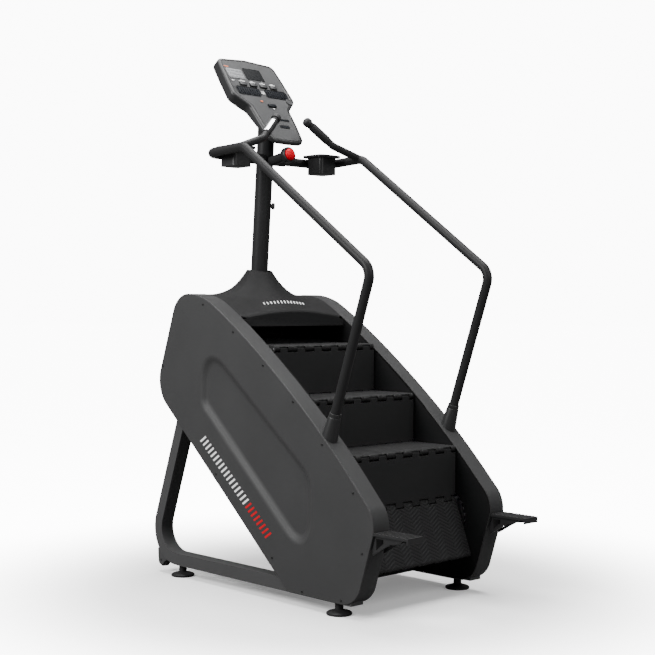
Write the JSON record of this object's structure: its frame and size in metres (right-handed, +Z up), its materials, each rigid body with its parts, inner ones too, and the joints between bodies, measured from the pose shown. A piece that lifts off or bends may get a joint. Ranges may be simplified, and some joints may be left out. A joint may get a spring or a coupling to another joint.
{
  "type": "stair climber",
  "caption": "Gym stair climber: an endless flight of hinged steps between two side housings, with handrails, mast and console.",
  "frame": {"origin": "on the floor, midway between the two sides and midway between the front and the back of the whole machine", "axes": "+X to the user's right, +Y the way the user faces (towards the console and the rear legs), +Z up"},
  "size_m": [0.768, 1.4912, 2.2303],
  "materials": {
    "frame_paint": "satin black powder coat",
    "cover_shell": "fine-grained dark grey moulding",
    "inner_panel": "plain black sheet",
    "step_tread": "black moulding with a raised anti-slip pattern",
    "step_riser": "smooth black moulding",
    "steel": "oiled steel",
    "zinc_plate": "grey primer",
    "rubber": "moulded rubber",
    "console_shell": "dark grey textured moulding",
    "console_face": "dark grey membrane",
    "screen": "smoked window over a dark display",
    "key": "grey key caps",
    "stop_red": "glossy red",
    "stop_black": "black moulding",
    "chrome": "polished contact plates",
    "cast_iron": "machined cast iron",
    "brake_red": "grey paint"
  },
  "bodies": {
    "frame": {"frame_left": "frame_paint", "frame_right": "frame_paint", "cross_members": "frame_paint", "bearing_plates": "zinc_plate", "shaft_bearings": "steel", "guide_tracks": "steel", "inner_panel_left": "inner_panel", "inner_panel_right": "inner_panel", "outer_cover_left": "cover_shell", "outer_cover_right": "cover_shell", "cover_screws": "stop_black", "rear_cover": "inner_panel", "shroud": "cover_shell", "side_step_left": "step_tread", "side_step_right": "step_tread", "mast": "frame_paint", "console_housing": "console_shell", "console_face": "console_face", "console_screen": "screen", "stop_housing": "stop_black", "handrail_left": "frame_paint", "handrail_right": "frame_paint", "rail_sockets": "frame_paint", "pulse_grips": "chrome", "grip_caps": "rubber", "cup_holder_left": "stop_black", "cup_holder_right": "stop_black", "drive_belt": "rubber", "brake_stator": "brake_red"},
    "front_run": {"tread_1": "step_tread", "tread_2": "step_tread", "tread_3": "step_tread", "riser_1": "step_riser", "riser_2": "step_riser", "riser_3": "step_riser", "front_chain": "steel"},
    "return_run": {"return_steps": "step_tread", "return_chain": "steel"},
    "bottom_drive": {"tread_4": "step_tread", "riser_4": "step_riser", "bottom_chain": "steel", "bottom_shaft": "steel"},
    "top_drive": {"tread_0": "step_tread", "riser_0": "step_riser", "top_chain": "steel", "top_shaft": "steel", "drive_pulley": "cast_iron"},
    "brake": {"brake_rotor": "cast_iron"},
    "stop_knob": {"stop_button": "stop_red"},
    "key_1_cap": {"key_1": "key"},
    "key_2_cap": {"key_2": "key"},
    "key_3_cap": {"key_3": "key"},
    "key_4_cap": {"key_4": "key"},
    "start_cap": {"start_key": "key"},
    "foot_fl": {"foot_front_left": "rubber"},
    "foot_fr": {"foot_front_right": "rubber"},
    "foot_rl": {"foot_rear_left": "rubber"},
    "foot_rr": {"foot_rear_right": "rubber"},
    "wheel_l": {"wheel_left": "rubber"},
    "wheel_r": {"wheel_right": "rubber"}
  },
  "joints": [
    {"name": "stair_travel", "type": "slide", "parent": "frame", "child": "front_run", "axis": [0, -0.7546, -0.6562], "range_m": [0, 0.038]},
    {"name": "return_travel", "type": "slide", "parent": "frame", "child": "return_run", "axis": [0, 0.7546, 0.6562], "range_m": [0, 0.038]},
    {"name": "bottom_turn", "type": "hinge", "parent": "frame", "child": "bottom_drive", "pos_m": [0, -0.31765, 0.2935], "axis": [1, 0, 0], "range_deg": [0, 20]},
    {"name": "top_turn", "type": "hinge", "parent": "frame", "child": "top_drive", "pos_m": [0, 0.34301, 0.86799], "axis": [1, 0, 0], "range_deg": [0, 20]},
    {"name": "brake_turn", "type": "hinge", "parent": "frame", "child": "brake", "pos_m": [0, 0.14701, 0.71799], "axis": [1, 0, 0], "range_deg": [0, 76]},
    {"name": "stop_press", "type": "slide", "parent": "frame", "child": "stop_knob", "axis": [0, 0.9854, -0.1701], "range_m": [0, 0.006], "stiffness_N_per_m": 1500},
    {"name": "key_1_press", "type": "slide", "parent": "frame", "child": "key_1_cap", "axis": [0, 0.7934, -0.6088], "range_m": [0, 0.0025], "stiffness_N_per_m": 800},
    {"name": "key_2_press", "type": "slide", "parent": "frame", "child": "key_2_cap", "axis": [0, 0.7934, -0.6088], "range_m": [0, 0.0025], "stiffness_N_per_m": 800},
    {"name": "key_3_press", "type": "slide", "parent": "frame", "child": "key_3_cap", "axis": [0, 0.7934, -0.6088], "range_m": [0, 0.0025], "stiffness_N_per_m": 800},
    {"name": "key_4_press", "type": "slide", "parent": "frame", "child": "key_4_cap", "axis": [0, 0.7934, -0.6088], "range_m": [0, 0.0025], "stiffness_N_per_m": 800},
    {"name": "start_press", "type": "slide", "parent": "frame", "child": "start_cap", "axis": [0, 0.7934, -0.6088], "range_m": [0, 0.0025], "stiffness_N_per_m": 800},
    {"name": "foot_fl_turn", "type": "hinge", "parent": "frame", "child": "foot_fl", "pos_m": [-0.335, -0.36765, 0.02], "axis": [0, 0, 1], "continuous": true},
    {"name": "foot_fr_turn", "type": "hinge", "parent": "frame", "child": "foot_fr", "pos_m": [0.335, -0.36765, 0.02], "axis": [0, 0, 1], "continuous": true},
    {"name": "foot_rl_turn", "type": "hinge", "parent": "frame", "child": "foot_rl", "pos_m": [-0.335, 0.58604, 0.02], "axis": [0, 0, 1], "continuous": true},
    {"name": "foot_rr_turn", "type": "hinge", "parent": "frame", "child": "foot_rr", "pos_m": [0.335, 0.58604, 0.02], "axis": [0, 0, 1], "continuous": true},
    {"name": "wheel_l_turn", "type": "hinge", "parent": "frame", "child": "wheel_l", "pos_m": [-0.335, 0.71404, 0.052], "axis": [1, 0, 0], "continuous": true},
    {"name": "wheel_r_turn", "type": "hinge", "parent": "frame", "child": "wheel_r", "pos_m": [0.335, 0.71404, 0.052], "axis": [1, 0, 0], "continuous": true}
  ],
  "couplings": [
    {"joint": "return_travel", "follows": "stair_travel", "ratio": 1},
    {"joint": "bottom_turn", "follows": "stair_travel", "rad_per_m": 9.1412},
    {"joint": "top_turn", "follows": "stair_travel", "rad_per_m": 9.1412},
    {"joint": "brake_turn", "follows": "stair_travel", "rad_per_m": 34.736}
  ]
}
